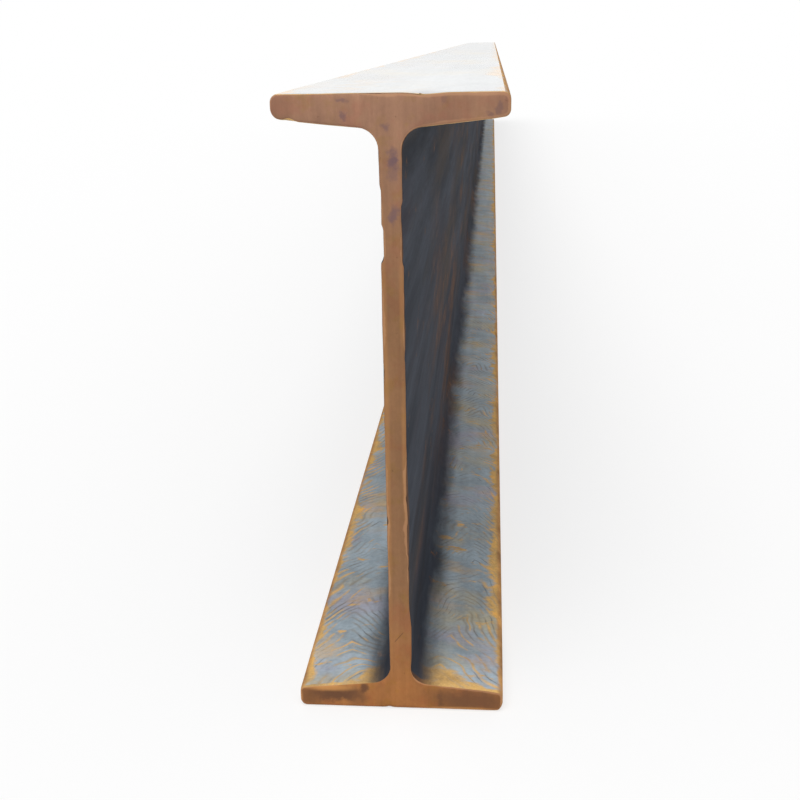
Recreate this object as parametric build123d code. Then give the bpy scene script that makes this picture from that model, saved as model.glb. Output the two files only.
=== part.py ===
"""Hot-rolled steel I-beam with tapered flanges, standing on its lower flange.

Frame: the origin is at the middle of the underside, +Z is up, +Y runs along the beam
and +X across its flanges. All lengths are in millimetres.
"""

import os

from build123d import *

# Driving dimensions of the rolled section
depth = 450.0
flange_width = 154.0
web_thickness = 15.5
flange_thickness = 19.5  # measured midway between the web and the flange's toe
flange_slope_share = 0.10  # how much a flange thins towards its toe, for each unit of width
root_radius = 14.0  # concave fillet where a flange meets the web
toe_radius = 5.0  # rounding of a toe on the flange's inner face
corner_radius = 5.5  # rounding of a toe on the flange's outer face

# Length that the beam is cut to
beam_length = 6000.0

# A toe's two roundings may each take up at most this share of the toe's height
toe_rounding_share = 0.45

# Places worked out from the sizes above
half_width = flange_width / 2
half_web = web_thickness / 2
mid_flange = (half_web + half_width) / 2
taper = flange_slope_share * (half_width - mid_flange)
toe_height = flange_thickness - taper
root_height = flange_thickness + taper


def section_outline():
    """Corners of the sharp-edged section, anticlockwise from the lower right corner."""
    right_side = [
        (half_width, 0),
        (half_width, toe_height),
        (half_web, root_height),
        (half_web, depth - root_height),
        (half_width, depth - toe_height),
        (half_width, depth),
    ]
    left_side = [(-x, z) for x, z in reversed(right_side)]
    return right_side + left_side


def is_root(vertex):
    """A corner between a flange and the web."""
    return abs(vertex.X) < mid_flange


def is_outer_corner(vertex):
    """A toe's corner on the flat outer face of the lower or the upper flange."""
    height = min(vertex.Y, depth - vertex.Y)
    return abs(vertex.X) > mid_flange and height < toe_height / 2


def is_inner_toe(vertex):
    """A toe's corner on the sloping inner face of a flange."""
    return not is_root(vertex) and not is_outer_corner(vertex)


def beam_section():
    """The rolled section, with its roots filleted and its toes rounded."""
    largest_rounding = toe_rounding_share * toe_height
    roundings = [
        (is_root, root_radius),
        (is_inner_toe, min(toe_radius, largest_rounding)),
        (is_outer_corner, min(corner_radius, largest_rounding)),
    ]
    with BuildSketch(Plane.XZ) as section:
        with BuildLine():
            Polyline(*section_outline(), close=True)
        make_face()
        for belongs, radius in roundings:
            fillet(section.vertices().filter_by(belongs), radius)
    return section.sketch


def rolled_beam():
    """The section run along the whole length, with both ends cut square."""
    return extrude(beam_section(), amount=beam_length / 2, both=True)


os.makedirs("parts", exist_ok=True)
export_step(rolled_beam(), "parts/i_beam.step")
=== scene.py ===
"""Looks of the steel I-beam: a weathered skin over the rolled section, with blue mill scale on
its rolled faces, golden rust creeping in from the toes and brown rust on both cut ends.

Lengths are in metres and colours are written as they look, from 0 to 255.
"""

import math
from collections import namedtuple

import bmesh
import bpy
from mathutils import Matrix, Vector


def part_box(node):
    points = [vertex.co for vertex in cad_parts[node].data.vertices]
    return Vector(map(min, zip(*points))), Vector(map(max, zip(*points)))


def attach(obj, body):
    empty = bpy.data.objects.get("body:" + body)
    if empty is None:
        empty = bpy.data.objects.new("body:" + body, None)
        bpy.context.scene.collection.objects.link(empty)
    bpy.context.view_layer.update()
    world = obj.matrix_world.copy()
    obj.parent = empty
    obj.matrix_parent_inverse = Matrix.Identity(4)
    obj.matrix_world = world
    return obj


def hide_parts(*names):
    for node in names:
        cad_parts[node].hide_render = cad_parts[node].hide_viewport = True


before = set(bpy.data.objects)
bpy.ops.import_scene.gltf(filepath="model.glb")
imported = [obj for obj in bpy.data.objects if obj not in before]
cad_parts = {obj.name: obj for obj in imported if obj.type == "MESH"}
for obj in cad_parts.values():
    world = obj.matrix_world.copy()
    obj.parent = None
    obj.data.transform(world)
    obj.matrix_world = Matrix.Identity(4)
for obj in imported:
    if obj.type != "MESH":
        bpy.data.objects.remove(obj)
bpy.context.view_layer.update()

# The rolled section: overall sizes come from the frame
NODE = "i_beam"
HALF_WIDTH, HALF_LENGTH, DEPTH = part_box(NODE)[1]
HALF_WEB = 0.00775
FLANGE_THICKNESS = 0.0195  # midway between the web and the toe
FLANGE_SLOPE = 0.10
ROOT_RADIUS = 0.014
TOE_RADIUS = 0.005
CORNER_RADIUS = 0.0055

# Fineness of the skin's mesh
WEB_COLUMNS = 5  # across half the web
FILLET_COLUMNS = 8
SLOPE_COLUMNS = 26
TOE_COLUMNS = 6
FLANGE_ROWS = 10
WEB_ROWS = 190
CROWDING = 2.5  # of the rings along the beam towards both its ends
WELD = HALF_WEB / 1000  # points closer than this are one

# Wear of the cut ends
RIM_REACH = 0.0032  # how far the rounding and the chips reach in from a rim
CHIPS_PER_METRE = 46.0
CHIP_START = 0.58  # level of the noise where a chip starts, and where it is full
CHIP_FULL = 0.74
OUTER_WAVE_SHARE = 0.3  # how much of the end wave the toes and the outer faces get
END_WAVE_REACH = 0.07
CUT_WAVE_REACH = 0.005  # how far into a cut end it is felt
WAVES_PER_METRE = 24.0
SWELL_START = 0.004  # depth inside the outline where the swelling starts, and where it is full
SWELL_FULL = 0.012
RELIEF_REACH = 0.010
RELIEF_PER_METRE = 90.0

# Sizes that the skin's tree is given
SKIN_SIZES = {
    "Half Length": HALF_LENGTH,
    "Stations": 81,  # rings along the beam, an odd number of them
    "Rim Rounding": 0.0005,
    "Chip Depth": 0.0010,
    "End Wave": 0.0013,  # unevenness of the faces close to a cut
    "End Swell": 0.0008,  # how far the inner faces stand out at a cut
    "Cut Relief": 0.0004,
}

# Flat outer faces: a thin band at the top and the bottom that faces nearly straight out
OUTER_BAND = 0.0032
OUTER_FACING = 0.985

# Dents and bulges of the near end, each flat over a share of its height
Dent = namedtuple("Dent", "place reach flat_share push")
NEAR_END = -HALF_LENGTH
DENTS = [
    Dent((-HALF_WEB, NEAR_END, 0.3535), (0.012, 0.040, 0.0125), 0.8, (0.0012, 0.0, 0.0)),
    Dent((-HALF_WEB, NEAR_END, 0.3660), (0.012, 0.040, 0.0270), 0.8, (0.0009, 0.0, 0.0)),
    Dent((HALF_WEB, NEAR_END, 0.3600), (0.012, 0.040, 0.0220), 0.8, (-0.0011, 0.0, 0.0)),
    Dent((HALF_WEB, NEAR_END, 0.1800), (0.012, 0.040, 0.0240), 0.3, (-0.0006, 0.0, 0.0)),
    Dent((HALF_WEB, NEAR_END, 0.1400), (0.012, 0.040, 0.0140), 0.7, (-0.0006, 0.0, 0.0)),
    Dent((HALF_WEB, NEAR_END, 0.0580), (0.012, 0.040, 0.0320), 0.3, (0.0013, 0.0, 0.0)),
    Dent((-0.0645, NEAR_END, 0.4325), (0.006, 0.010, 0.0075), 0.2, (0.0, 0.0004, 0.0018)),
    Dent((-0.0770, NEAR_END, 0.4335), (0.010, 0.016, 0.0080), 0.1, (0.0010, 0.0, 0.0004)),
    Dent((0.0225, NEAR_END, DEPTH), (0.016, 0.022, 0.0060), 0.1, (0.0, 0.0, -0.0010)),
]

# Map that the finishes are baked to: the cut ends and the stretches next to them get most room
MAP_NAME = "OFBake"
MAP_MARGIN = 0.004
MAP_CROWDING = 0.6
MAP_WEB_SHARE = 0.5  # how much of its true height the web gets on the map
SEAM_JUMP = 0.25  # a corner this share of the girth behind its face's middle is past the seam
SideRoom = namedtuple("SideRoom", "left width")
CutRoom = namedtuple("CutRoom", "left low size_per_metre way")
NEAR_SIDES_ROOM = SideRoom(MAP_MARGIN, 0.42)
FAR_SIDES_ROOM = SideRoom(0.432, 0.33)
NEAR_CUT_ROOM = CutRoom(0.772, MAP_MARGIN, 1.42, 1.0)
FAR_CUT_ROOM = CutRoom(0.772, 0.654, 0.75, -1.0)

# Camera at the photograph's viewpoint
CAMERA_PLACE = (0.0648, -3.7085, 0.4821)
CAMERA_PITCH = math.radians(18.34)
CAMERA_YAW = math.radians(-4.94)
CAMERA_ROLL = math.radians(1.03)
CAMERA_LENS = 49.12
CAMERA_CLIP = 0.01

# Studio
FLOOR_SIZE = 60.0
FLOOR_DROP = 0.0005
FLOOR_WHITE = (0.88, 0.88, 0.88, 1.0)
FLOOR_WHITENING = 0.66
SKY_WHITE = (1.0, 1.0, 1.0, 1.0)
SKY_LEVEL = 0.6
KEY_LEVEL = 1.9
KEY_SOFTNESS = math.radians(50)
KEY_WAY = (0.12, 0.45, -0.88)

# Named sockets of the trees that aren't plain numbers
RUST_SHADES = ("Dark", "Middle", "Light")
SCALE_SHADES = ("Pale", "Dark", "Warm", "Violet")
SOCKET_KINDS = {
    "Section": "NodeSocketGeometry",
    "Skin": "NodeSocketGeometry",
    "Stations": "NodeSocketInt",
    "Vector": "NodeSocketVector",
    **dict.fromkeys((*RUST_SHADES, *SCALE_SHADES, "Colour"), "NodeSocketColor"),
}


class Net:
    """Puts nodes into one tree and links them. A value may be a number, a colour or a socket."""

    def __init__(self, tree):
        self.tree = tree

    def feed(self, socket, value):
        if isinstance(value, bpy.types.NodeSocket):
            self.tree.links.new(value, socket)
        else:
            socket.default_value = value

    def add(self, kind, inputs=None, **settings):
        node = self.tree.nodes.new(kind)
        for name, value in settings.items():
            setattr(node, name, value)
        for key, value in (inputs or {}).items():
            self.feed(node.inputs[key], value)
        return node

    def put(self, kind, inputs=None, **settings):
        """Adds a node for its outputs."""
        return self.add(kind, inputs, **settings).outputs

    def maths(self, operation, *values):
        return self.put("ShaderNodeMath", dict(enumerate(values)), operation=operation)[0]

    def minus(self, first, second):
        return self.maths("SUBTRACT", first, second)

    def times(self, first, second):
        return self.maths("MULTIPLY", first, second)

    def times_plus(self, first, second, third):
        return self.maths("MULTIPLY_ADD", first, second, third)

    def size(self, value):
        """The value without its sign."""
        return self.maths("ABSOLUTE", value)

    def vectors(self, operation, *values):
        made = self.put("ShaderNodeVectorMath", dict(enumerate(values)), operation=operation)
        return made["Value" if operation == "LENGTH" else "Vector"]

    def scaled(self, vector, factor):
        return self.put("ShaderNodeVectorMath", {0: vector, "Scale": factor}, operation="SCALE")[0]

    def split(self, vector):
        return self.put("ShaderNodeSeparateXYZ", {0: vector})

    def combined(self, x=0.0, y=0.0, z=0.0):
        return self.put("ShaderNodeCombineXYZ", {"X": x, "Y": y, "Z": z})[0]

    def remap(self, value, start, end, to_start=0.0, to_end=1.0):
        """Eases from to_start, where the value is at start, to to_end, where it is at end."""
        sockets = ("Value", "From Min", "From Max", "To Min", "To Max")
        inputs = dict(zip(sockets, (value, start, end, to_start, to_end)))
        return self.put("ShaderNodeMapRange", inputs, interpolation_type="SMOOTHSTEP")[0]

    def near(self, distance, reach):
        """1 where the distance is 0, easing to 0 where it is as far as the reach."""
        return self.remap(distance, 0.0, reach, to_start=1.0, to_end=0.0)

    def noise(self, vector, scale, detail=3.0, roughness=0.55, output="Fac"):
        inputs = {"Vector": vector, "Scale": scale, "Detail": detail, "Roughness": roughness}
        return self.put("ShaderNodeTexNoise", inputs)[output]

    def wobble(self, vector, scale, **settings):
        """Noise round 0."""
        return self.minus(self.noise(vector, scale, **settings), 0.5)

    def patches(self, vector, scale, start, full, strength=1.0, **settings):
        """A mask that sets in where noise is at the level start, and is at its strength at full."""
        return self.remap(self.noise(vector, scale, **settings), start, full, to_end=strength)

    def mix(self, factor, first, second, blend="MIX"):
        """Mixes two colours. Sockets go by place here, because several share a name."""
        inputs = {0: factor, 6: first, 7: second}
        return self.put("ShaderNodeMix", inputs, data_type="RGBA", blend_type=blend)[2]

    def blend(self, factor, first, second):
        """Mixes two numbers."""
        inputs = {0: factor, 2: first, 3: second}
        return self.put("ShaderNodeMix", inputs, data_type="FLOAT")[0]

    def most(self, first, *others):
        """The largest of several masks."""
        for other in others:
            first = self.maths("MAXIMUM", first, other)
        return first

    def group(self, tree, inputs):
        return self.put("ShaderNodeGroup", inputs, node_tree=tree)


def new_tree(name, inputs, outputs, kind="ShaderNodeTree"):
    """A node tree with named sockets, its net, what is given to it and its output sockets."""
    tree = bpy.data.node_groups.new(name, kind)
    for way, labels in (("INPUT", inputs), ("OUTPUT", outputs)):
        for label in labels:
            socket_type = SOCKET_KINDS.get(label, "NodeSocketFloat")
            tree.interface.new_socket(label, in_out=way, socket_type=socket_type)
    net = Net(tree)
    given = net.put("NodeGroupInput")
    result = net.add("NodeGroupOutput").inputs
    return tree, net, given, result


# Section of the beam, meshed in quads

SLOPE_ANGLE = math.atan(FLANGE_SLOPE)
ROOT_HEIGHT = FLANGE_THICKNESS + FLANGE_SLOPE * (HALF_WIDTH - HALF_WEB) / 2
FILLET_RISE = ROOT_RADIUS * (1 - math.sin(SLOPE_ANGLE)) / math.cos(SLOPE_ANGLE)
FILLET_CENTRE = (HALF_WEB + ROOT_RADIUS, ROOT_HEIGHT + FILLET_RISE)
FILLET_TOP = FILLET_CENTRE[1]
TOE_CENTRE_X = HALF_WIDTH - TOE_RADIUS
SLOPE_DROP = (TOE_CENTRE_X - HALF_WEB) * math.sin(SLOPE_ANGLE)
TOE_DROP = (TOE_RADIUS + SLOPE_DROP) / math.cos(SLOPE_ANGLE)
TOE_CENTRE = (TOE_CENTRE_X, ROOT_HEIGHT - TOE_DROP)
CORNER_CENTRE = (HALF_WIDTH - CORNER_RADIUS, CORNER_RADIUS)


def arc(centre, radius, start, end, steps):
    """Points after the first along an arc, with angles from +X towards +Z."""
    angles = [start + (end - start) * step / steps for step in range(1, steps + 1)]
    return [(centre[0] + radius * math.cos(a), centre[1] + radius * math.sin(a)) for a in angles]


def line(start, end, steps):
    """Points after the first along a straight line."""
    width, height = end[0] - start[0], end[1] - start[1]
    shares = [step / steps for step in range(1, steps + 1)]
    return [(start[0] + width * share, start[1] + height * share) for share in shares]


def half_flange_columns():
    """Pairs of points on the lower flange's outer and inner face, from its middle to its toe."""
    quarter = math.pi / 2
    inner = [(0.0, FILLET_TOP)]
    inner += line(inner[-1], (HALF_WEB, FILLET_TOP), WEB_COLUMNS)
    fillet_angles = (2 * quarter, 3 * quarter - SLOPE_ANGLE)
    inner += arc(FILLET_CENTRE, ROOT_RADIUS, *fillet_angles, FILLET_COLUMNS)
    slope_end = arc(TOE_CENTRE, TOE_RADIUS, 0, quarter - SLOPE_ANGLE, 1)[0]
    inner += line(inner[-1], slope_end, SLOPE_COLUMNS)
    inner += arc(TOE_CENTRE, TOE_RADIUS, quarter - SLOPE_ANGLE, 0, TOE_COLUMNS)
    fillet_end = inner[WEB_COLUMNS + FILLET_COLUMNS]
    outer = [(0.0, 0.0)]
    outer += line(outer[-1], (fillet_end[0], 0.0), WEB_COLUMNS + FILLET_COLUMNS)
    outer += line(outer[-1], (CORNER_CENTRE[0], 0.0), SLOPE_COLUMNS)
    outer += arc(CORNER_CENTRE, CORNER_RADIUS, -quarter, 0, TOE_COLUMNS)
    return list(zip(outer, inner))


def section_patch():
    """The whole section as a quad mesh in the plane y = 0, facing -Y."""
    right = half_flange_columns()
    left = [((-a[0], a[1]), (-b[0], b[1])) for a, b in reversed(right[1:])]
    columns = [[outer] + line(outer, inner, FLANGE_ROWS) for outer, inner in left + right]
    lower_rows = list(zip(*columns))
    upper_rows = [[(x, DEPTH - z) for x, z in row] for row in reversed(lower_rows)]
    web_foot = [(x, z) for x, z in lower_rows[-1] if abs(x) < HALF_WEB + WELD]
    web_columns = [[(x, z)] + line((x, z), (x, DEPTH - z), WEB_ROWS) for x, z in web_foot]
    web_rows = list(zip(*web_columns))

    patch = bmesh.new()
    for rows in (lower_rows, upper_rows, web_rows):
        made = [[patch.verts.new((x, 0.0, z)) for x, z in row] for row in rows]
        for low, high in zip(made, made[1:]):
            for corners in zip(low, low[1:], high[1:], high):
                patch.faces.new(corners)
    bmesh.ops.remove_doubles(patch, verts=patch.verts, dist=WELD)
    mesh = bpy.data.meshes.new("section_patch")
    patch.to_mesh(mesh)
    patch.free()
    return mesh


# The skin: the section rolled out along the beam and worn at its ends

def position(net):
    return net.put("GeometryNodeInputPosition")[0]


def normal_of(net):
    return net.put("GeometryNodeInputNormal")[0]


def named(net, name, data_type):
    return net.put("GeometryNodeInputNamedAttribute", {"Name": name}, data_type=data_type)[0]


def stored(net, geometry, name, value, data_type, domain):
    inputs = {"Geometry": geometry, "Name": name, "Value": value}
    settings = {"data_type": data_type, "domain": domain}
    return net.put("GeometryNodeStoreNamedAttribute", inputs, **settings)[0]


def over_face(net, value):
    """The mean of a value over each face."""
    settings = {"data_type": "FLOAT", "domain": "FACE"}
    return net.put("GeometryNodeFieldOnDomain", {"Value": value}, **settings)[0]


def at_ends(net, geometry, half_length):
    """A geometry moved to the near and to the far end of the beam."""
    minus_half = net.times(half_length, -1.0)
    moved = []
    for along in (minus_half, half_length):
        inputs = {"Geometry": geometry, "Translation": net.combined(y=along)}
        moved.append(net.put("GeometryNodeTransform", inputs)[0])
    return moved


def joined(net, *geometries):
    node = net.add("GeometryNodeJoinGeometry")
    for geometry in geometries:
        net.tree.links.new(geometry, node.inputs[0])
    return node.outputs[0]


def finished(net, geometry, material, selection=True):
    inputs = {"Geometry": geometry, "Selection": selection, "Material": material}
    return net.put("GeometryNodeSetMaterial", inputs)[0]


def outline_of(net, section):
    """The closed curve round the section."""
    faces_beside = net.put("GeometryNodeInputMeshEdgeNeighbors")[0]
    settings = {"data_type": "INT", "operation": "EQUAL"}
    on_outline = net.put("FunctionNodeCompare", {2: faces_beside, 3: 1}, **settings)[0]
    return net.put("GeometryNodeMeshToCurve", {"Mesh": section, "Selection": on_outline})[0]


def beam_path(net, half_length, stations):
    """A line along the beam, with its points crowded towards both ends."""
    inputs = {"Count": stations, "Start Location": (0, -1, 0), "Offset": (0, 1, 0)}
    even = net.put("GeometryNodeMeshLine", inputs, mode="END_POINTS")[0]
    along = net.split(position(net))[1]
    inward = net.minus(1.0, net.size(along))
    eased = net.minus(1.0, net.maths("POWER", inward, CROWDING))
    signed = net.times(eased, net.maths("SIGN", along))
    place = net.combined(y=net.times(signed, half_length))
    crowded = net.put("GeometryNodeSetPosition", {"Geometry": even, "Position": place})[0]
    return net.put("GeometryNodeMeshToCurve", {"Mesh": crowded})[0]


def mapped_sides(net, sides, whole_girth, half_length):
    """The sides laid out on the map, round the beam and along it, in a near and a far half."""
    girth = named(net, "girth", "FLOAT")
    behind = net.minus(over_face(net, girth), girth)
    past_seam = net.maths("GREATER_THAN", behind, net.times(whole_girth, SEAM_JUMP))
    turned = net.maths("ADD", net.maths("DIVIDE", girth, whole_girth), past_seam)
    along = net.split(position(net))[1]
    is_near = net.maths("LESS_THAN", over_face(net, along), 0.0)
    turned = net.blend(is_near, net.minus(1.0, turned), turned)
    left = net.blend(is_near, FAR_SIDES_ROOM.left, NEAR_SIDES_ROOM.left)
    width = net.blend(is_near, FAR_SIDES_ROOM.width, NEAR_SIDES_ROOM.width)
    from_middle = net.maths("DIVIDE", net.size(along), half_length)
    from_end = net.maths("MAXIMUM", net.minus(1.0, from_middle), 0.0)
    crowded = net.maths("POWER", from_end, MAP_CROWDING)
    u = net.times_plus(turned, width, left)
    v = net.times_plus(crowded, 1.0 - 2 * MAP_MARGIN, MAP_MARGIN)
    return stored(net, sides, MAP_NAME, net.combined(u, v), "FLOAT2", "CORNER")


def rolled_sides(net, outline, half_length, stations):
    """The outline swept along the beam and laid out on the map."""
    inputs = {"Geometry": outline, "Scale": (1, 1, MAP_WEB_SHARE)}
    narrowed = net.put("GeometryNodeTransform", inputs)[0]
    whole_girth = net.put("GeometryNodeCurveLength", {0: narrowed})[0]
    run = net.put("GeometryNodeSplineParameter")["Length"]
    inputs = {
        "Geometry": stored(net, narrowed, "girth", run, "FLOAT", "POINT"),
        "Scale": (1, 1, 1 / MAP_WEB_SHARE),
        "Rotation": (math.pi / 2, 0, 0),
    }
    profile = net.put("GeometryNodeTransform", inputs)[0]
    inputs = {"Curve": beam_path(net, half_length, stations), "Profile Curve": profile}
    swept = net.put("GeometryNodeCurveToMesh", inputs)[0]
    mapped = mapped_sides(net, swept, whole_girth, half_length)
    return net.put("GeometryNodeRemoveAttribute", {"Geometry": mapped, "Name": "girth"})[0]


def mapped_cut(net, cut, room):
    """A cut end laid out flat on the map."""
    across, _, height = net.split(position(net))
    from_left = net.times_plus(across, room.way, HALF_WIDTH)
    u = net.times_plus(from_left, room.size_per_metre, room.left)
    v = net.times_plus(height, room.size_per_metre, room.low)
    return stored(net, cut, MAP_NAME, net.combined(u, v), "FLOAT2", "CORNER")


def closed_beam(net, sides, cut, half_length):
    """The sides with a cut end welded on at either end."""
    cut = stored(net, cut, "cut_end", True, "BOOLEAN", "FACE")
    near_cut, far_cut = at_ends(net, cut, half_length)
    near_cut = mapped_cut(net, near_cut, NEAR_CUT_ROOM)
    far_cut = mapped_cut(net, far_cut, FAR_CUT_ROOM)
    far_cut = net.put("GeometryNodeFlipFaces", {"Mesh": far_cut})[0]
    inputs = {"Geometry": joined(net, sides, near_cut, far_cut), "Distance": WELD}
    return net.put("GeometryNodeMergeByDistance", inputs)[0]


# What the wear reads at a point: inward leads into the beam, and away from the nearest rim
Spot = namedtuple("Spot", "place from_end from_rim on_cut inward away")


def skin_spot(net, half_length, nearest_rim):
    place = position(net)
    along = net.split(place)[1]
    from_end = net.minus(half_length, net.size(along))
    from_rim = named(net, "rim_distance", "FLOAT")
    on_rim = net.maths("LESS_THAN", from_rim, WELD)
    on_cut = net.maths("LESS_THAN", from_end, WELD)
    # A rim goes one step in from each of the two faces that meet there
    inward = net.scaled(normal_of(net), net.blend(on_rim, -1.0, -math.sqrt(2)))
    away = net.vectors("NORMALIZE", net.vectors("SUBTRACT", place, nearest_rim))
    away = net.scaled(away, net.minus(1.0, on_rim))
    return Spot(place, from_end, from_rim, on_cut, inward, away)


def rim_wear(net, given, spot):
    """Rims are rounded, and chipped in places."""
    chips = net.patches(spot.place, CHIPS_PER_METRE, CHIP_START, CHIP_FULL)
    depth = net.times_plus(chips, given["Chip Depth"], given["Rim Rounding"])
    depth = net.times(depth, net.near(spot.from_rim, RIM_REACH))
    return net.scaled(net.vectors("ADD", spot.inward, spot.away), depth)


def on_inner_faces(net, place):
    """1 on the web and the flanges' inner faces, easing to 0 at the toes and the outer faces."""
    across, _, height = net.split(place)
    from_toe = net.minus(HALF_WIDTH, net.size(across))
    from_top = net.minus(DEPTH, height)
    from_outside = net.maths("MINIMUM", from_toe, net.maths("MINIMUM", height, from_top))
    return net.remap(from_outside, SWELL_START, SWELL_FULL)


def end_waves(net, given, spot):
    """Unevenness is square to the sides, and spreads from their rims into a cut end."""
    inner = on_inner_faces(net, spot.place)
    waves = net.times(net.noise(spot.place, WAVES_PER_METRE), given["End Wave"])
    waves = net.times(waves, net.blend(inner, OUTER_WAVE_SHARE, 1.0))
    swell = net.times(inner, given["End Swell"])
    depth = net.times(net.minus(waves, swell), net.near(spot.from_end, END_WAVE_REACH))
    into_cut = net.times(spot.on_cut, net.near(spot.from_rim, CUT_WAVE_REACH))
    sideways = net.vectors("MULTIPLY", spot.inward, (1, 0, 1))
    sideways = net.vectors("ADD", sideways, net.scaled(spot.away, into_cut))
    return net.scaled(sideways, depth)


def cut_relief(net, given, spot):
    """Relief of the cut ends runs along the beam."""
    depth = net.times(net.noise(spot.place, RELIEF_PER_METRE), given["Cut Relief"])
    depth = net.times(depth, net.near(spot.from_end, RELIEF_REACH))
    to_middle = net.times(net.maths("SIGN", net.split(spot.place)[1]), -1.0)
    return net.combined(y=net.times(to_middle, depth))


def dented(net, place, dent):
    """A dent fades out on every side."""
    apart = net.vectors("ABSOLUTE", net.vectors("SUBTRACT", place, dent.place))
    x, y, z = net.split(net.vectors("DIVIDE", apart, dent.reach))
    share = net.remap(z, dent.flat_share, 1.0, to_start=1.0, to_end=0.0)
    for sideways in (x, y):
        share = net.times(share, net.near(sideways, 1.0))
    return net.scaled(dent.push, share)


def wear(net, given, nearest_rim):
    """How far each point of the skin is moved by all its wear."""
    spot = skin_spot(net, given["Half Length"], nearest_rim)
    shift = rim_wear(net, given, spot)
    others = [end_waves(net, given, spot), cut_relief(net, given, spot)]
    others += [dented(net, spot.place, dent) for dent in DENTS]
    for other in others:
        shift = net.vectors("ADD", shift, other)
    return shift


def dressed(net, skin, finishes):
    """The skin with the finishes of the web, of the outer faces and of the cut ends put on."""
    height = net.split(position(net))[2]
    from_mid_height = net.size(net.minus(height, DEPTH / 2))
    upright = net.size(net.split(normal_of(net))[2])
    faces_out = net.maths("GREATER_THAN", upright, OUTER_FACING)
    is_outside = net.maths("GREATER_THAN", from_mid_height, DEPTH / 2 - OUTER_BAND)
    selections = {
        "web": net.maths("LESS_THAN", from_mid_height, DEPTH / 2 - FILLET_TOP),
        "outer": net.times(faces_out, is_outside),
        "cut_end": named(net, "cut_end", "BOOLEAN"),
    }
    for name, selection in selections.items():
        skin = finished(net, skin, finishes[name], selection)
    return skin


def rolled_skin_tree(finishes):
    """Sweeps the section along the beam, closes and wears its ends and dresses its faces."""
    inputs = ["Section", *SKIN_SIZES]
    tree, net, given, result = new_tree("rolled_skin", inputs, ["Skin"], "GeometryNodeTree")
    half_length = given["Half Length"]
    outline = outline_of(net, given["Section"])
    sides = rolled_sides(net, outline, half_length, given["Stations"])
    sides = finished(net, sides, finishes["flange"])
    cut = finished(net, given["Section"], finishes["cut_end"])
    closed = closed_beam(net, sides, cut, half_length)

    rims = joined(net, *at_ends(net, outline, half_length))
    rims = net.put("GeometryNodeCurveToMesh", {"Curve": rims})[0]
    to_rim = net.put("GeometryNodeProximity", {0: rims}, target_element="EDGES")
    measured = stored(net, closed, "rim_distance", to_rim["Distance"], "FLOAT", "POINT")
    inputs = {"Geometry": measured, "Offset": wear(net, given, to_rim["Position"])}
    worn = net.put("GeometryNodeSetPosition", inputs)[0]
    smooth = net.put("GeometryNodeSetShadeSmooth", {"Geometry": worn})[0]
    skin = net.put("GeometryNodeRealizeInstances", {"Geometry": smooth})[0]
    net.feed(result["Skin"], dressed(net, skin, finishes))
    return tree


def weathered_skin(finishes):
    """The beam's skin as a plain mesh object."""
    section_mesh = section_patch()
    section = bpy.data.objects.new("section", section_mesh)
    bpy.context.collection.objects.link(section)
    tree = rolled_skin_tree(finishes)
    modifier = section.modifiers.new("roll_out", "NODES")
    modifier.node_group = tree
    for item in tree.interface.items_tree:
        if item.name in SKIN_SIZES:
            modifier[item.identifier] = SKIN_SIZES[item.name]
    graph = bpy.context.evaluated_depsgraph_get()
    mesh = bpy.data.meshes.new_from_object(section.evaluated_get(graph))
    mesh.attributes.remove(mesh.attributes["cut_end"])
    bpy.data.objects.remove(section)
    bpy.data.meshes.remove(section_mesh)
    mesh.name = "beam_skin"
    skin = bpy.data.objects.new("beam_skin", mesh)
    bpy.context.collection.objects.link(skin)
    return skin


# Finishes: effects that several of them share

NOISE_LOW = 0.2  # levels that noise seldom passes
NOISE_HIGH = 0.8
NOISE_STEP = (3.1, 1.7, 5.3)
BROKEN = {"detail": 4.0, "roughness": 0.6}  # finely broken noise

# Rust that creeps in from an edge, and rust in blotches
FINGERS_PER_STRETCH = 4.0
SHORT_REACH = 0.15  # shares of the reach in the least and in the most rusted stretches
LONG_REACH = 1.7
GRAINS_PER_BLOTCH = 14.0
GRAIN_HEIGHT = 0.5
SPECK_HEIGHT = 0.4

# Ripples: strokes that arch away to both sides of a swaying spine
SPINE_SWAY = 0.07
ARCH = 3.4
ARCH_POWER = 1.25
RIPPLE_DRIFT = 0.05
RIPPLE_WANDER = 0.024
RIPPLES_START = 0.014  # distance from the middle of the web where they start, and are in full
RIPPLES_FULL = 0.024
RIPPLE_WIDTH = 0.34  # widths of the strokes, as shares of their spacing
CRACK_WIDTH = 0.13
RUSTED_SPACING = 1.37  # spacing of the rusted strokes, in spacings of the others
FEWEST_RIPPLES = 0.25


def shaded(net, tone, level, low, high):
    """A tone darkened down to low and lightened up to high by the level of a noise."""
    shade = net.remap(level, NOISE_LOW, NOISE_HIGH, low, high)
    grey = net.put("ShaderNodeCombineColor", {0: shade, 1: shade, 2: shade})[0]
    return net.mix(1.0, tone, grey, "MULTIPLY")


def stretched(net, vector, x=1.0, y=1.0, z=1.0):
    return net.vectors("MULTIPLY", vector, (x, y, z))


def elsewhere(net, vector, steps):
    """The same vector moved well away, so that one noise doesn't follow another."""
    return net.vectors("ADD", vector, [steps * length for length in NOISE_STEP])


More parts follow.
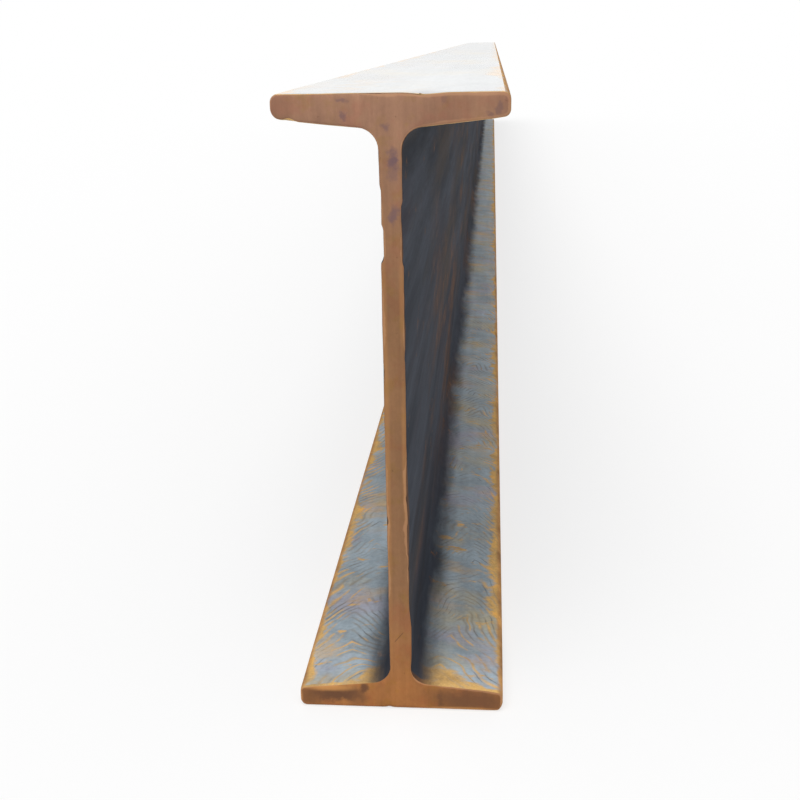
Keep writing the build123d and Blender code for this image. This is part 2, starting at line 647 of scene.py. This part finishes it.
def creeping_rust_group():
    """Rust that creeps in from an edge in fingers, further in some stretches than in others."""
    inputs = ["Vector", "Distance", "Reach", "Raggedness", "Scale"]
    tree, net, given, result = new_tree("creeping_rust", inputs, ["Mask"])
    slow_scale = net.maths("DIVIDE", given["Scale"], FINGERS_PER_STRETCH)
    stretches = net.noise(elsewhere(net, given["Vector"], 4), slow_scale)
    reach = net.times(net.remap(stretches, 0.38, 0.64, SHORT_REACH, LONG_REACH), given["Reach"])
    fingers = stretched(net, given["Vector"], x=0.5, y=1.5)
    ragged = net.wobble(fingers, given["Scale"], detail=6.0, roughness=0.65)
    share = net.maths("DIVIDE", given["Distance"], reach)
    share = net.times_plus(ragged, given["Raggedness"], share)
    net.feed(result["Mask"], net.remap(share, 0.5, 1.0, to_start=1.0, to_end=0.0))
    return tree


def rust_drifts_group():
    """Rust in large drifts, each broken into patches that may be drawn out along the beam."""
    tree, net, given, result = new_tree("rust_drifts", ["Vector", "Drawing"], ["Mask"])
    vector = given["Vector"]
    drifts = net.patches(stretched(net, vector, y=0.35), scale=4.2, start=0.44, full=0.68)
    drawn = net.vectors("MULTIPLY", vector, net.combined(1.0, given["Drawing"], 1.0))
    broken = net.patches(drawn, scale=26.0, start=0.44, full=0.66, detail=7.0, roughness=0.68)
    net.feed(result["Mask"], net.times(drifts, broken))
    return tree


def rust_group():
    """Rust in three tones, blotchy and finely grained."""
    inputs = ["Vector", "Scale", "Grain", *RUST_SHADES]
    tree, net, given, result = new_tree("rust", inputs, ["Colour", "Height"])
    fine_scale = net.times(given["Scale"], GRAINS_PER_BLOTCH)
    blotches = net.noise(given["Vector"], given["Scale"], detail=6.0, roughness=0.60)
    grain = net.noise(given["Vector"], fine_scale, detail=4.0, roughness=0.65)
    tone = net.mix(net.remap(blotches, 0.28, 0.52), given["Dark"], given["Middle"])
    tone = net.mix(net.remap(blotches, 0.50, 0.74), tone, given["Light"])
    lighter = net.maths("ADD", 1.0, given["Grain"])
    darker = net.minus(1.0, given["Grain"])
    net.feed(result["Colour"], shaded(net, tone, grain, darker, lighter))
    net.feed(result["Height"], net.times_plus(grain, GRAIN_HEIGHT, blotches))
    return tree


def mill_scale_group():
    """Scale from the rolling: clouded, tinted, streaked along the beam and finely specked."""
    inputs = ["Vector", *SCALE_SHADES]
    tree, net, given, result = new_tree("mill_scale", inputs, ["Colour", "Height"])
    vector = given["Vector"]
    clouds = net.noise(vector, scale=19.0, detail=6.0, roughness=0.62)
    streaks = net.noise(stretched(net, vector, y=0.06), scale=90.0, **BROKEN)
    specks = net.noise(vector, scale=330.0, roughness=0.6)
    violet_levels = {"start": 0.50, "full": 0.68, "strength": 0.75}
    violet = net.patches(elsewhere(net, vector, 5), scale=17.0, **violet_levels, **BROKEN)
    warm_levels = {"start": 0.49, "full": 0.68, "strength": 0.8, "detail": 5.0, "roughness": 0.6}
    warm = net.patches(elsewhere(net, vector, 1), scale=12.0, **warm_levels)
    tone = net.mix(net.remap(clouds, 0.32, 0.66), given["Dark"], given["Pale"])
    tone = net.mix(violet, tone, given["Violet"])
    tone = net.mix(warm, tone, given["Warm"])
    for level in (streaks, specks):
        tone = shaded(net, tone, level, low=0.88, high=1.10)
    net.feed(result["Colour"], tone)
    net.feed(result["Height"], net.times_plus(specks, SPECK_HEIGHT, clouds))
    return tree


def ripples_group():
    """Arched marks that the rolls leave in the scale, some of them cracked or rusted."""
    inputs = ["Vector", "Spine", "Spacing", "Rust Bias", "Rust Width"]
    tree, net, given, result = new_tree("ripples", inputs, ["Ripples", "Cracks", "Rust"])
    vector, spacing = given["Vector"], given["Spacing"]
    across, along, _ = net.split(vector)
    off_web = net.size(across)
    sway = net.wobble(elsewhere(net, vector, 11), scale=9.0, detail=1.0)
    spine = net.times_plus(sway, SPINE_SWAY, given["Spine"])
    from_spine = net.size(net.minus(off_web, spine))
    arched = net.times(net.maths("POWER", from_spine, ARCH_POWER), ARCH)
    drift = net.wobble(elsewhere(net, vector, 13), scale=10.0, detail=1.0)
    arched = net.times_plus(drift, RIPPLE_DRIFT, arched)
    wander = net.wobble(vector, scale=26.0, detail=2.0)
    arched = net.times_plus(wander, RIPPLE_WANDER, arched)
    run = net.maths("ADD", along, arched)
    on_slope = net.remap(off_web, RIPPLES_START, RIPPLES_FULL)

    def strokes(step, width, parts):
        turn = net.maths("FRACT", net.maths("DIVIDE", run, step))
        off_line = net.size(net.minus(turn, 0.5))
        return net.times(net.near(off_line, width), net.times(parts, on_slope))

    rippled = net.patches(elsewhere(net, vector, 7), scale=34.0, start=0.42, full=0.60)
    areas = net.noise(elsewhere(net, stretched(net, vector, y=0.6), 9), scale=11.0)
    areas = net.remap(areas, 0.36, 0.58, to_start=FEWEST_RIPPLES)
    rippled = net.times(rippled, areas)
    cracked = net.patches(vector, scale=40.0, start=0.50, full=0.66)
    rusty = net.noise(elsewhere(net, vector, 2), scale=34.0, detail=4.0)
    rusted = net.remap(net.maths("ADD", rusty, given["Rust Bias"]), 0.52, 0.66)
    wide_spacing = net.times(spacing, RUSTED_SPACING)
    net.feed(result["Ripples"], strokes(spacing, RIPPLE_WIDTH, rippled))
    net.feed(result["Cracks"], strokes(spacing, CRACK_WIDTH, cracked))
    net.feed(result["Rust"], strokes(wide_spacing, given["Rust Width"], rusted))
    return tree


CREEPING_RUST = creeping_rust_group()
RUST_DRIFTS = rust_drifts_group()
RUST = rust_group()
MILL_SCALE = mill_scale_group()
RIPPLES = ripples_group()


# Tones of the rust and of the scale, some of them with painted shade, sheen and highlights

def colour(red, green, blue):
    """A colour as it looks on screen, from 0 to 255, as the linear one that shaders take."""
    def linear(value):
        share = value / 255
        return share / 12.92 if share <= 0.04045 else ((share + 0.055) / 1.055) ** 2.4
    return (linear(red), linear(green), linear(blue), 1.0)


def rust_tones(*tones):
    return {name: colour(*tone) for name, tone in zip(RUST_SHADES, tones)}


def scale_tones(*tones):
    return {name: colour(*tone) for name, tone in zip(SCALE_SHADES, tones)}


GOLDEN_RUST = rust_tones((178, 143, 94), (212, 171, 108), (242, 184, 98))
WEB_RUST = rust_tones((70, 53, 46), (94, 69, 53), (126, 88, 61))
TOE_RUST = rust_tones((120, 84, 58), (164, 120, 78), (206, 152, 92))
CUT_TOP_RUST = rust_tones((140, 105, 86), (155, 117, 94), (170, 129, 102))
CUT_WEB_RUST = rust_tones((131, 97, 69), (137, 101, 72), (147, 108, 76))
CUT_FOOT_RUST = rust_tones((144, 96, 58), (162, 108, 63), (175, 119, 70))
# Scale of the flanges' inner and outer faces: pale, lightened with painted sheen
PALE_SCALE_AND_SHEEN = scale_tones((166, 180, 190), (140, 152, 160), (180, 168, 138), (166, 162, 176))
TOP_SCALE_AND_SHEEN = scale_tones((186, 192, 194), (156, 162, 165), (192, 182, 156), (178, 176, 184))
# Scale of the web, darkened with painted shade
SHADED_WEB_SCALE = scale_tones((64, 68, 77), (43, 47, 55), (68, 61, 57), (58, 56, 64))
SMEAR = colour(112, 88, 90)
STAIN = colour(102, 71, 52)
RIPPLE = colour(134, 123, 106)
CRACK = colour(92, 94, 98)
# Lighter rim: rust with a painted highlight
RIM_RUST_AND_HIGHLIGHT = colour(192, 144, 107)
# Tone of the painted highlights on the near end's edges
HIGHLIGHT_TONE = colour(192, 137, 80)
RED_TINT = colour(255, 244, 246)
OLIVE_TINT = colour(250, 253, 232)


# Finishes: the rolled faces

SCALE_SPECULAR = 0.07
SCALE_ROUGHNESS = 0.5
WEB_ROUGHNESS = 0.88
WEB_DRIFTS = 0.85
OUTER_DRIFTS = 0.75

# Inner faces of the flanges: how far the web's painted shade, the look of a toe and that of a cut
# reach
WEB_SHADE_START = 0.034  # from the middle of the web
WEB_SHADE_FULL = 0.012
WEB_SHADE_RAGGED = 0.020
TOE_REACH = 0.030
CUT_REACH = 0.14
TOE_RUST_START = 0.0085
TOE_RUST_FULL = 0.0045
TOE_RUST_RAGGED = 0.006
TOE_RUST_SHARE = 0.85
SPINE = 0.042  # of the ripples, from the middle of the web
SPACING = 0.0105
RUSTED_WIDTH = 0.17  # width of the rusted ripples, and how much they gain at a toe
RUSTED_WIDTH_GAIN = 0.26
RUSTED_BIAS = 0.13  # how much more of them there is near a toe or a cut
CUT_HAZE = 0.05
RIPPLE_SHARE = 0.55  # how strongly each kind shows
CRACK_SHARE = 0.6
RUSTED_SHARE = 0.85
RIPPLE_COVER = 0.45  # how much of the rust a ripple hides
RUST_HEIGHT = 0.5
RIPPLE_HEIGHT = -0.5
CRACK_HEIGHT = -0.8
WEB_HEIGHT = 0.6


def own_net(owner):
    """The net of a material's or a world's own tree, which is emptied."""
    owner.use_nodes = True
    owner.node_tree.nodes.clear()
    return Net(owner.node_tree)


def new_finish(name, specular):
    """A material with its shader, its net and the place on the beam that its nodes read."""
    material = bpy.data.materials.new(name)
    net = own_net(material)
    shader = net.add("ShaderNodeBsdfPrincipled", {"Specular IOR Level": specular})
    net.put("ShaderNodeOutputMaterial", {"Surface": shader.outputs[0]})
    place = net.put("ShaderNodeTexCoord")["Object"]
    return material, net, shader.inputs, place


def bumped(net, height, strength, distance):
    inputs = {"Height": height, "Strength": strength, "Distance": distance}
    return net.put("ShaderNodeBump", inputs)[0]


def rust_of(net, place, tones, scale, grain):
    return net.group(RUST, {"Vector": place, "Scale": scale, "Grain": grain, **tones})


def scale_of(net, place, tones):
    return net.group(MILL_SCALE, {"Vector": place, **tones})


def drifts_of(net, place, drawing):
    return net.group(RUST_DRIFTS, {"Vector": place, "Drawing": drawing})["Mask"]


def creep(net, place, distance, reach, raggedness, scale):
    inputs = {"Vector": place, "Distance": distance, "Reach": reach}
    inputs.update({"Raggedness": raggedness, "Scale": scale})
    return net.group(CREEPING_RUST, inputs)["Mask"]


def rim_distance(net):
    """Distance from the edge of the nearest cut end."""
    return net.put("ShaderNodeAttribute", attribute_name="rim_distance")["Fac"]


def from_web(net, place):
    """Distance from the middle of the web."""
    return net.size(net.split(place)[0])


def shaded_web_look(net, place):
    """Tone and height of blue scale darkened with painted shade, streaked, with brown rust in
    drifts and small spots.
    """
    scale = scale_of(net, stretched(net, place, y=0.10), SHADED_WEB_SCALE)
    brown = rust_of(net, place, WEB_RUST, scale=36.0, grain=0.16)
    from_cut = creep(net, place, rim_distance(net), reach=0.008, raggedness=2.0, scale=70.0)
    drifts = net.times(drifts_of(net, place, drawing=0.10), WEB_DRIFTS)
    spotted = elsewhere(net, stretched(net, place, y=0.5), 2)
    spot_levels = {"start": 0.62, "full": 0.72, "strength": 0.8, "detail": 5.0, "roughness": 0.65}
    spots = net.patches(spotted, scale=55.0, **spot_levels)
    rusted = net.most(from_cut, spots, drifts)
    tone = net.mix(rusted, scale["Colour"], brown["Colour"])
    return tone, net.maths("ADD", scale["Height"], brown["Height"])


def flange_ripples(net, place, near_toe, near_cut):
    """Ripples of the flanges, with more rusted ones near the toes and the cut ends."""
    inputs = {
        "Vector": place,
        "Spine": SPINE,
        "Spacing": SPACING,
        "Rust Bias": net.times(net.most(near_toe, near_cut), RUSTED_BIAS),
        "Rust Width": net.times_plus(near_toe, RUSTED_WIDTH_GAIN, RUSTED_WIDTH),
    }
    return net.group(RIPPLES, inputs)


def flange_rust(net, place, toe, cut, haze, ripples):
    """Where the flanges are rusted: hazes, flecks and ripples, and in from toes and cut ends."""
    haze = net.remap(haze, 0.53, 0.72, to_end=0.65)
    flecked = elsewhere(net, stretched(net, place, x=0.7, y=1.4), 6)
    flecks = net.patches(flecked, scale=60.0, start=0.62, full=0.70, strength=0.9, detail=4.0)
    rusted_ripples = net.times(ripples["Rust"], RUSTED_SHARE)
    from_toe = creep(net, place, toe, reach=0.009, raggedness=3.0, scale=34.0)
    from_cut = creep(net, place, cut, reach=0.026, raggedness=2.4, scale=50.0)
    rusted = net.most(haze, flecks, rusted_ripples, from_toe, from_cut)
    uncovered = net.times_plus(ripples["Ripples"], -RIPPLE_COVER, 1.0)
    return net.times(rusted, uncovered)


def flange_finish():
    """Inner faces and toes of the flanges: pale rippled scale with painted sheen and golden rust
    from every edge, which gives way to the web's painted shade in the fillets."""
    material, net, shader, place = new_finish("flange_scale_sheen_and_shade", SCALE_SPECULAR)
    off_web = from_web(net, place)
    toe = net.minus(HALF_WIDTH, off_web)
    cut = rim_distance(net)
    # Painted shade: the web's dark look spreads onto the flanges next to the fillets, darkening the
    # corners
    ragged = net.wobble(stretched(net, place, y=0.25), scale=36.0, detail=5.0, roughness=0.6)
    web_shade_mask = net.times_plus(ragged, WEB_SHADE_RAGGED, off_web)
    web_shade_mask = net.remap(web_shade_mask, WEB_SHADE_START, WEB_SHADE_FULL)
    near_toe = net.near(toe, TOE_REACH)
    near_cut = net.near(cut, CUT_REACH)
    hazy = net.noise(stretched(net, place, x=0.6, y=1.2), scale=16.0, detail=6.0, roughness=0.62)
    on_toe = net.times_plus(hazy, TOE_RUST_RAGGED, toe)
    on_toe = net.remap(on_toe, TOE_RUST_START, TOE_RUST_FULL, to_end=TOE_RUST_SHARE)

    scale = scale_of(net, stretched(net, place, x=0.8), PALE_SCALE_AND_SHEEN)
    golden = rust_of(net, place, GOLDEN_RUST, scale=44.0, grain=0.14)
    toe_rust = rust_of(net, place, TOE_RUST, scale=40.0, grain=0.16)
    web_shade_tone, web_height = shaded_web_look(net, place)
    ripples = flange_ripples(net, place, near_toe, near_cut)
    haze = net.times_plus(near_cut, CUT_HAZE, hazy)
    rusted = flange_rust(net, place, toe, cut, haze, ripples)

    rippled = net.times(ripples["Ripples"], RIPPLE_SHARE)
    cracked = net.times(ripples["Cracks"], CRACK_SHARE)
    tone = scale["Colour"]
    layers = [
        (rippled, RIPPLE),
        (cracked, CRACK),
        (rusted, golden["Colour"]),
        (web_shade_mask, web_shade_tone),
        (on_toe, toe_rust["Colour"]),
    ]
    for mask, layer_tone in layers:
        tone = net.mix(mask, tone, layer_tone)
    net.feed(shader["Base Color"], tone)
    dull = net.most(rusted, web_shade_mask)
    net.feed(shader["Roughness"], net.blend(dull, SCALE_ROUGHNESS, WEB_ROUGHNESS))

    height = net.times_plus(rusted, RUST_HEIGHT, golden["Height"])
    height = net.times_plus(ripples["Ripples"], RIPPLE_HEIGHT, height)
    height = net.times_plus(ripples["Cracks"], CRACK_HEIGHT, height)
    height = net.blend(web_shade_mask, height, net.times(web_height, WEB_HEIGHT))
    net.feed(shader["Normal"], bumped(net, height, strength=0.5, distance=0.0006))
    return material


def web_finish():
    """Faces of the web, which have one look all over: scale darkened with painted shade."""
    material, net, shader, place = new_finish("web_scale_painted_shade", SCALE_SPECULAR)
    tone, height = shaded_web_look(net, place)
    net.feed(shader["Base Color"], tone)
    shader["Roughness"].default_value = WEB_ROUGHNESS
    net.feed(shader["Normal"], bumped(net, height, strength=0.35, distance=0.0005))
    return material


def outer_finish():
    """Flat outer faces of the flanges: smooth, half-bright scale lightened with painted sheen, with
    rust along the edges.
    """
    material, net, shader, place = new_finish("outer_scale_and_sheen", specular=0.5)
    shader["Coat Weight"].default_value = 0.9
    shader["Coat Roughness"].default_value = 0.12
    scale = scale_of(net, stretched(net, place, y=0.35), TOP_SCALE_AND_SHEEN)
    golden = rust_of(net, place, GOLDEN_RUST, scale=30.0, grain=0.14)
    toe = net.minus(HALF_WIDTH, from_web(net, place))
    from_toe = creep(net, place, toe, reach=0.012, raggedness=2.0, scale=24.0)
    from_cut = creep(net, place, rim_distance(net), reach=0.004, raggedness=1.8, scale=60.0)
    drifts = net.times(drifts_of(net, place, drawing=0.6), OUTER_DRIFTS)
    rusted = net.most(from_toe, from_cut, drifts)
    net.feed(shader["Base Color"], net.mix(rusted, scale["Colour"], golden["Colour"]))
    net.feed(shader["Metallic"], net.blend(rusted, 0.5, 0.1))
    net.feed(shader["Roughness"], net.blend(rusted, 0.40, 0.65))
    net.feed(shader["Normal"], bumped(net, golden["Height"], strength=0.12, distance=0.0004))
    return material


# Finishes: the cut ends

FOOT_TONE_TOP = 0.12  # height where the tone of the foot ends, and where that of the top starts
TOP_TONE_FOOT = 0.30
SAW_HEIGHT = 0.35
PIT_HEIGHT = -0.8
SCRATCH_SHARE = 0.7
RIM_SHARE = 0.38
CUT_ROUGHNESS = 0.86

# Marks on the near end face: place on the section, reach across and up, and strength
Mark = namedtuple("Mark", "place reach strength")
MARK_CORE = 0.25  # share of its reach up to which a mark is full, and where it ends
MARK_EDGE = 1.15
MARK_RAGGED = (0.012, 0.0, 0.016)
SMEARS = [
    Mark((0.0019, 0.408), (0.0040, 0.008), 0.95),
    Mark((0.0012, 0.398), (0.0040, 0.006), 0.45),
    Mark((0.0013, 0.373), (0.0040, 0.007), 0.8),
    Mark((-0.0297, 0.4455), (0.0045, 0.0030), 0.55),
    Mark((-0.0294, 0.4355), (0.0030, 0.0030), 0.65),
    Mark((-0.0028, 0.4290), (0.0032, 0.0042), 0.6),
    Mark((0.0350, 0.4440), (0.0025, 0.0030), 0.35),
    Mark((0.0691, 0.4390), (0.0022, 0.0042), 0.5),
    Mark((0.0640, 0.4345), (0.0030, 0.0022), 0.5),
]
STAINS = [
    Mark((-0.0480, 0.0105), (0.024, 0.0060), 0.95),
    Mark((-0.0270, 0.0170), (0.0045, 0.0060), 0.9),
    Mark((-0.0400, 0.0150), (0.012, 0.0050), 0.75),
    Mark((0.0540, 0.0085), (0.043, 0.0150), 0.82),
    Mark((0.0300, 0.0090), (0.0025, 0.0090), 0.5),
    Mark((-0.0330, 0.0100), (0.012, 0.0120), 0.45),
    Mark((-0.0690, 0.0100), (0.016, 0.0140), 0.65),
    Mark((-0.0700, 0.4420), (0.013, 0.0160), 0.20),
    Mark((0.0480, 0.4380), (0.040, 0.0180), 0.22),
]
# Painted highlights: lighter bands along the near end's edges
PAINTED_HIGHLIGHTS = [
    Mark((-0.0540, 0.0165), (0.024, 0.0036), 0.8),
    Mark((0.0460, 0.0008), (0.036, 0.0026), 0.8),
    Mark((-0.0770, 0.0080), (0.0028, 0.0090), 0.7),
    Mark((0.0770, 0.0080), (0.0026, 0.0080), 0.6),
    Mark((-0.0060, 0.2300), (0.0026, 0.2000), 0.24),
    Mark((0.0062, 0.2050), (0.0026, 0.0700), 0.24),
    Mark((0.0062, 0.3150), (0.0026, 0.0400), 0.22),
]
SCRATCH_START = Vector((-0.0041, 0.0564))
SCRATCH_END = Vector((0.0035, 0.0659))
SCRATCH_WIDTH = 0.0006


def mark_mask(net, place, mark):
    """A soft mark round one place on the section."""
    across, _, height = net.split(place)
    away = net.vectors("SUBTRACT", net.combined(across, height), (*mark.place, 0.0))
    away = net.vectors("DIVIDE", away, (*mark.reach, 1.0))
    return net.remap(net.vectors("LENGTH", away), MARK_CORE, MARK_EDGE, mark.strength, 0.0)


def scratch_mask(net, place):
    """A thin slanted scratch across the web, which fades towards its ends."""
    across, _, height = net.split(place)
    run = SCRATCH_END - SCRATCH_START
    middle = (SCRATCH_END + SCRATCH_START) / 2
    x = net.minus(across, middle.x)
    z = net.minus(height, middle.y)

    def measured(way):
        return net.size(net.times_plus(x, way.x, net.times(z, way.y)))

    within = net.remap(measured(run.normalized()), run.length / 2, run.length / 3)
    beside = net.near(measured(run.orthogonal().normalized()), SCRATCH_WIDTH)
    return net.times(beside, within)


def cut_rust(net, place):
    """Tone and relief of sawn and pitted rust, more orange at the foot and greyer at the top."""
    height = net.split(place)[2]
    drawn = stretched(net, place, z=0.6)
    foot, web, top = [
        rust_of(net, drawn, tones, scale=30.0, grain=0.05)
        for tones in (CUT_FOOT_RUST, CUT_WEB_RUST, CUT_TOP_RUST)
    ]
    tone = net.mix(net.remap(height, 0.0, FOOT_TONE_TOP), foot["Colour"], web["Colour"])
    tone = net.mix(net.remap(height, TOP_TONE_FOOT, DEPTH), tone, top["Colour"])
    saw_lines = net.noise(stretched(net, place, z=0.04), scale=170.0, **BROKEN)
    tone = shaded(net, tone, saw_lines, low=0.90, high=1.09)
    reddish = net.patches(elsewhere(net, place, 3), scale=55.0, start=0.48, full=0.66, **BROKEN)
    tone = net.mix(reddish, tone, RED_TINT, "MULTIPLY")
    olive = net.patches(elsewhere(net, place, 8), scale=60.0, start=0.50, full=0.68, **BROKEN)
    tone = net.mix(olive, tone, OLIVE_TINT, "MULTIPLY")
    pits = elsewhere(net, place, 9)
    pits = net.patches(pits, scale=210.0, start=0.68, full=0.76, strength=0.6, detail=2.0)
    tone = net.mix(pits, tone, STAIN)
    relief = net.times_plus(saw_lines, SAW_HEIGHT, web["Height"])
    return tone, net.times_plus(pits, PIT_HEIGHT, relief)


def marked(net, place, tone, near_end):
    """A tone with the near end's smears and stains, and painted highlights along its edges, laid
    over it.
    """
    warp = net.noise(place, scale=110.0, detail=6.0, roughness=0.66, output="Color")
    warp = net.vectors("SUBTRACT", warp, (0.5, 0.5, 0.5))
    warp = net.vectors("MULTIPLY", warp, MARK_RAGGED)
    ragged = net.vectors("ADD", place, warp)
    layers = [(SMEARS, ragged, SMEAR), (STAINS, ragged, STAIN), (PAINTED_HIGHLIGHTS, place, HIGHLIGHT_TONE)]
    for marks, where, mark_tone in layers:
        for mark in marks:
            mask = net.times(mark_mask(net, where, mark), near_end)
            tone = net.mix(mask, tone, mark_tone)
    return tone


def cut_finish():
    """Cut ends: brown rust with lighter rims, partly rust and partly a painted highlight, and on
    the near one marks, painted highlights and a scratch.
    """
    material, net, shader, place = new_finish("cut_end_rust", specular=0.12)
    near_end = net.maths("LESS_THAN", net.split(place)[1], 0.0)
    tone, relief = cut_rust(net, place)
    tone = marked(net, place, tone, near_end)
    scratch = net.times(scratch_mask(net, place), near_end)
    tone = net.mix(net.times(scratch, SCRATCH_SHARE), tone, STAIN)
    # Lighter rims: rust that creeps in from the edges, with a painted highlight
    rim_rust_and_highlight = creep(net, place, rim_distance(net), reach=0.0018, raggedness=2.2, scale=70.0)
    tone = net.mix(net.times(rim_rust_and_highlight, RIM_SHARE), tone, RIM_RUST_AND_HIGHLIGHT)
    net.feed(shader["Base Color"], tone)
    shader["Roughness"].default_value = CUT_ROUGHNESS
    relief = net.times_plus(scratch, PIT_HEIGHT, relief)
    net.feed(shader["Normal"], bumped(net, relief, strength=0.25, distance=0.0006))
    return material


# Studio: floor, light and camera

def seen_straight(net):
    """1 for rays from the camera, and for those that a mirror or something clear passes on."""
    path = net.put("ShaderNodeLightPath")
    return net.most(path["Is Camera Ray"], path["Is Glossy Ray"], path["Is Transmission Ray"])


def white_floor():
    bpy.ops.mesh.primitive_plane_add(size=FLOOR_SIZE, location=(0, 0, -FLOOR_DROP))
    floor = bpy.context.object
    floor.name = "floor"
    material = bpy.data.materials.new("floor_white")
    net = own_net(material)
    paint = net.put("ShaderNodeBsdfDiffuse", {"Color": FLOOR_WHITE})[0]
    glow = net.put("ShaderNodeEmission", {"Strength": 1.0})[0]
    share = net.times(seen_straight(net), FLOOR_WHITENING)
    both = net.put("ShaderNodeMixShader", {0: share, 1: paint, 2: glow})[0]
    net.put("ShaderNodeOutputMaterial", {"Surface": both})
    floor.data.materials.append(material)


def studio_light():
    world = bpy.data.worlds.new("studio")
    bpy.context.scene.world = world
    net = own_net(world)
    level = net.blend(seen_straight(net), SKY_LEVEL, 1.0)
    sky = net.put("ShaderNodeBackground", {"Color": SKY_WHITE, "Strength": level})[0]
    net.put("ShaderNodeOutputWorld", {"Surface": sky})

    key = bpy.data.lights.new("key", "SUN")
    key.energy = KEY_LEVEL
    key.angle = KEY_SOFTNESS
    lamp = bpy.data.objects.new("key", key)
    lamp.rotation_euler = Vector(KEY_WAY).to_track_quat("-Z", "Y").to_euler()
    bpy.context.collection.objects.link(lamp)


def photo_camera():
    data = bpy.data.cameras.new("camera")
    data.lens = CAMERA_LENS
    data.clip_start = CAMERA_CLIP
    camera = bpy.data.objects.new("camera", data)
    yaw = Matrix.Rotation(-CAMERA_YAW, 4, "Z")
    pitch = Matrix.Rotation(math.pi / 2 - CAMERA_PITCH, 4, "X")
    roll = Matrix.Rotation(-CAMERA_ROLL, 4, "Z")
    camera.matrix_world = Matrix.Translation(CAMERA_PLACE) @ yaw @ pitch @ roll
    bpy.context.collection.objects.link(camera)
    bpy.context.scene.camera = camera


bpy.context.scene.view_settings.view_transform = "Standard"
finishes = {
    "flange": flange_finish(),
    "web": web_finish(),
    "outer": outer_finish(),
    "cut_end": cut_finish(),
}
skin = weathered_skin(finishes)
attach(skin, "root")
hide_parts(NODE)
white_floor()
studio_light()
photo_camera()
